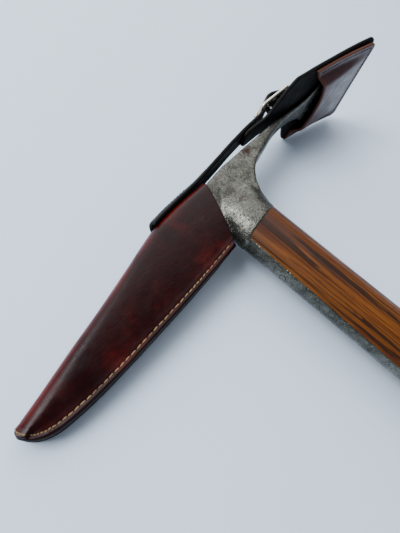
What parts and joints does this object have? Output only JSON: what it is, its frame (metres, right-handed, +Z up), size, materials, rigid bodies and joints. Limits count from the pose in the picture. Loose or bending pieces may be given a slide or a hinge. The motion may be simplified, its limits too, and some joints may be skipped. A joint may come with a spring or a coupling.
{
  "type": "ice axe",
  "caption": "Wooden-shafted ice axe lying on its side, its pick in a stitched leather sheath and its adze in a leather cover joined by a buckled strap.",
  "frame": {"origin": "centre of the bounding box on the plane the axe lies on", "axes": "+X from the pick to the adze, +Y up the shaft from spike to head, +Z up from the table, square to the flat of the head"},
  "size_m": [0.332, 0.7774, 0.0742],
  "materials": {
    "forged_steel": "worn, lightly rusted forged steel",
    "ash_wood": "oiled straight-grained ash",
    "oxblood_leather": "glossy, finely wrinkled",
    "black_leather": "dyed black, satin",
    "mauve_leather": "matt flesh side, grey-mauve",
    "waxed_thread": "waxed tan linen",
    "rivet_metal": "satin",
    "buckle_metal": "worn nickel plate"
  },
  "bodies": {
    "axe": {"head": "forged_steel", "shaft": "ash_wood", "langet_rivets": "forged_steel", "ferrule": "forged_steel", "spike": "forged_steel", "ferrule_pin": "forged_steel"},
    "pick_sheath": {"sheath_leather": "oxblood_leather", "sheath_welt": "oxblood_leather", "sheath_stitching": "waxed_thread", "strap": "black_leather", "strap_stitching": "waxed_thread"},
    "adze_cover": {"cover_panel": "black_leather", "cover_flap": "mauve_leather", "cover_stitching": "waxed_thread", "chape": "black_leather", "chape_rivets": "rivet_metal", "rivet_burrs": "rivet_metal"},
    "buckle": {"buckle_frame": "buckle_metal"},
    "prong": {"buckle_prong": "buckle_metal"}
  },
  "joints": [
    {"name": "sheath_slide", "type": "slide", "parent": "axe", "child": "pick_sheath", "axis": [-0.9942, -0.034, -0.1024], "range_m": [0, 0.17], "deforming": ["strap"]},
    {"name": "cover_draw", "type": "hinge", "parent": "axe", "child": "adze_cover", "pos_m": [0.04921, -0.08376, 0.0206], "axis": [0.1019, 0.0163, -0.9947], "range_deg": [0, 13], "deforming": ["strap"]},
    {"name": "buckle_swing", "type": "hinge", "parent": "adze_cover", "child": "buckle", "pos_m": [0.08474, 0.38308, 0.0319], "axis": [-0.1019, -0.0163, 0.9947], "range_deg": [-10, 10], "deforming": ["strap"]},
    {"name": "prong_lift", "type": "hinge", "parent": "buckle", "child": "prong", "pos_m": [0.08474, 0.38308, 0.0319], "axis": [0.1019, 0.0163, -0.9947], "range_deg": [0, 100], "deforming": ["strap"]}
  ]
}
